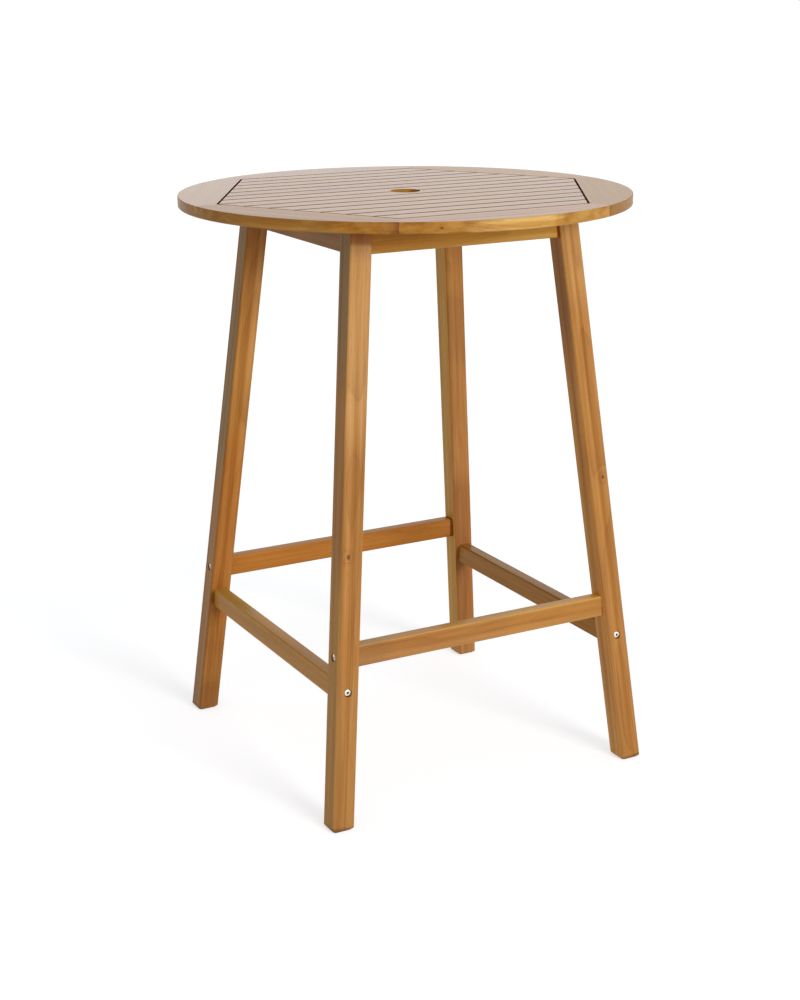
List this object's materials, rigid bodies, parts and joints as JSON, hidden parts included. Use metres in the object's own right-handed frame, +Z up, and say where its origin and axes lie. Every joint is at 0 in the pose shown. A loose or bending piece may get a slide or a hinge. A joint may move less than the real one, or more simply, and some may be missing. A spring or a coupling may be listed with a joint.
{
  "type": "outdoor bar table",
  "caption": "Round slatted hardwood bar table with a central umbrella hole, on four splayed square legs tied by stretchers.",
  "frame": {"origin": "on the floor, under the middle of the round top", "axes": "+Z up. The slats of the top, the front and back aprons and the two higher stretchers run along X. -Y is the front, -X the left."},
  "size_m": [0.8, 0.8, 1.035],
  "materials": {
    "top_wood": "oiled hardwood, satin",
    "frame_wood": "oiled hardwood, satin",
    "inner_wood": "sawn hardwood, lightly oiled",
    "dowel_wood": "bare pale hardwood",
    "bright_zinc": "bright zinc plate",
    "plain_zinc": "plain zinc plate"
  },
  "bodies": {
    "root": {"apron_back": "frame_wood", "apron_dowels": "dowel_wood", "apron_front": "frame_wood", "apron_left": "frame_wood", "apron_right": "frame_wood", "barrel_nuts": "bright_zinc", "batten_left": "inner_wood", "batten_right": "inner_wood", "batten_screws": "plain_zinc", "block_screws": "plain_zinc", "corner_block_back_left": "inner_wood", "corner_block_back_right": "inner_wood", "corner_block_front_left": "inner_wood", "corner_block_front_right": "inner_wood", "hanger_bolts": "plain_zinc", "hanger_nuts": "plain_zinc", "hanger_washers": "plain_zinc", "leg_back_left": "frame_wood", "leg_back_right": "frame_wood", "leg_front_left": "frame_wood", "leg_front_right": "frame_wood", "plate_screws": "plain_zinc", "rim_segment_1": "top_wood", "rim_segment_2": "top_wood", "rim_segment_3": "top_wood", "rim_segment_4": "top_wood", "rim_segment_5": "top_wood", "rim_segment_6": "top_wood", "rim_splines": "dowel_wood", "slat_01": "top_wood", "slat_02": "top_wood", "slat_03": "top_wood", "slat_04": "top_wood", "slat_05": "top_wood", "slat_06": "top_wood", "slat_07": "top_wood", "slat_08": "top_wood", "slat_09": "top_wood", "slat_10": "top_wood", "slat_11": "top_wood", "slat_12": "top_wood", "slat_13": "top_wood", "slat_14": "top_wood", "stretcher_back": "frame_wood", "stretcher_bolts": "bright_zinc", "stretcher_dowels": "dowel_wood", "stretcher_front": "frame_wood", "stretcher_left": "frame_wood", "stretcher_right": "frame_wood", "top_screws": "plain_zinc", "umbrella_plate": "inner_wood"}
  },
  "joints": []
}
